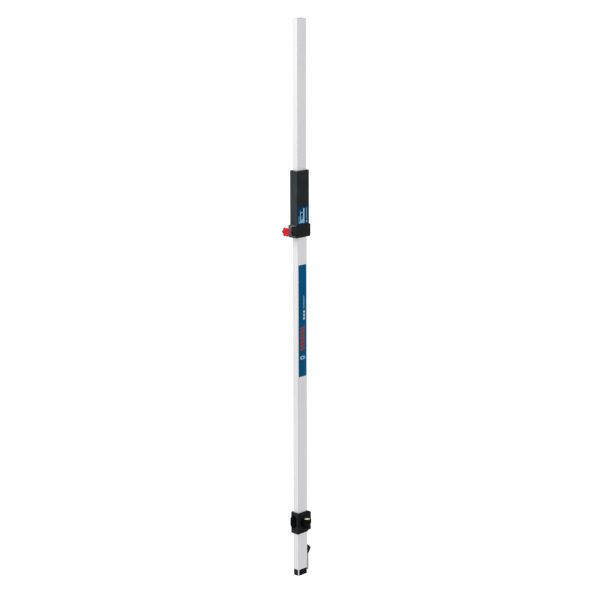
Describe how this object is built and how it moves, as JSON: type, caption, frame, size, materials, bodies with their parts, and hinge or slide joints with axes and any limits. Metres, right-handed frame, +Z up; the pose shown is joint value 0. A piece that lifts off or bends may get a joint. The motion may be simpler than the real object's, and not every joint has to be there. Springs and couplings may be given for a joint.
{
  "type": "leveling rod",
  "caption": "Telescoping rectangular aluminium levelling rod with a knob clamp, a sliding bullseye level and a fold-out toe.",
  "frame": {"origin": "centre of the foot's steel sole, on the plane that the rod stands on", "axes": "+Z up the rod, -Y out of the wide front face with the labels and the bullseye, -X towards the clamp's knob, +X towards the fold-out toe"},
  "size_m": [0.1027, 0.0583, 1.804],
  "materials": {
    "anodised": "satin anodised, fine drawing lines",
    "foot_plastic": "textured black moulding",
    "steel": "brushed",
    "screw_steel": "oiled zinc",
    "rivet_aluminium": "satin",
    "rubber": "matt rubber",
    "label_blue": null,
    "scale_strip": "printed scale",
    "clamp_grey": "fine texture",
    "black_plastic": "fine texture",
    "brass": "turned",
    "sleeve_plastic": "fine texture",
    "sleeve_label": null,
    "clear_pane": "clear",
    "cap_plastic": "matt",
    "white_plastic": "natural acetal",
    "red_plastic": "glossy moulding",
    "red_cap": "glossy moulding",
    "housing_plastic": "fine texture",
    "vial_plastic": "translucent moulding",
    "vial_liquid": "tinted spirit",
    "vial_acrylic": "clear",
    "button_rubber": "soft overmould",
    "spring_steel": "bright wire",
    "toe_metal": "blasted, grey anodised"
  },
  "bodies": {
    "lower": {"outer_tube": "anodised", "foot_plug": "foot_plastic", "foot_sole": "steel", "sole_screws": "screw_steel", "foot_rivets": "rivet_aluminium", "bump_stop": "rubber", "toe_pin": "screw_steel", "front_label": "label_blue", "outer_scale": "scale_strip", "clamp_body": "clamp_grey", "clamp_cover": "black_plastic", "clamp_screws": "screw_steel", "stop_screws": "screw_steel", "thread_insert": "brass", "grip_sleeve": "sleeve_plastic", "sleeve_label": "sleeve_label", "sleeve_screws": "screw_steel", "upper_collar": "black_plastic", "window_bezel": "black_plastic", "window_lens": "clear_pane"},
    "rod": {"inner_tube": "anodised", "top_cap": "cap_plastic", "guide_shoe": "white_plastic", "shoe_rivets": "rivet_aluminium", "inner_scale": "scale_strip"},
    "brake": {"brake_pad": "rubber"},
    "knob": {"knob_head": "red_plastic", "knob_stud": "screw_steel", "knob_cap": "red_cap"},
    "level": {"housing_front": "housing_plastic", "housing_rear": "housing_plastic", "housing_screws": "screw_steel", "liner_runners": "white_plastic", "vial_holder": "black_plastic", "vial_base": "vial_plastic", "vial_liquid": "vial_liquid", "vial_lens": "vial_acrylic", "vial_ring": "black_plastic"},
    "release": {"release_button": "button_rubber", "release_yoke": "steel", "yoke_pad": "rubber", "release_spring": "spring_steel"},
    "toe": {"toe_strip": "toe_metal", "toe_tab": "black_plastic"}
  },
  "joints": [
    {"name": "rod_extension", "type": "slide", "parent": "lower", "child": "rod", "axis": [0, 0, 1], "range_m": [-0.459, 0.596]},
    {"name": "brake_slide", "type": "slide", "parent": "lower", "child": "brake", "axis": [1, 0, 0], "range_m": [-0.00187, 0]},
    {"name": "knob_turn", "type": "hinge", "parent": "brake", "child": "knob", "pos_m": [-0.0616, 0, 1.148], "axis": [1, 0, 0], "range_deg": [-540, 0]},
    {"name": "level_slide", "type": "slide", "parent": "lower", "child": "level", "axis": [0, 0, 1], "range_m": [-0.045, 0.88]},
    {"name": "release_press", "type": "slide", "parent": "level", "child": "release", "axis": [1, 0, 0], "range_m": [0, 0.0022], "stiffness_N_per_m": 1500, "springref_m": -0.003, "deforming": ["release_spring"]},
    {"name": "toe_fold", "type": "hinge", "parent": "lower", "child": "toe", "pos_m": [0.0245, 0, 0.014], "axis": [0, 1, 0], "range_deg": [0, 90]}
  ],
  "couplings": [
    {"joint": "knob_turn", "follows": "brake_slide", "rad_per_m": 5026.5}
  ]
}
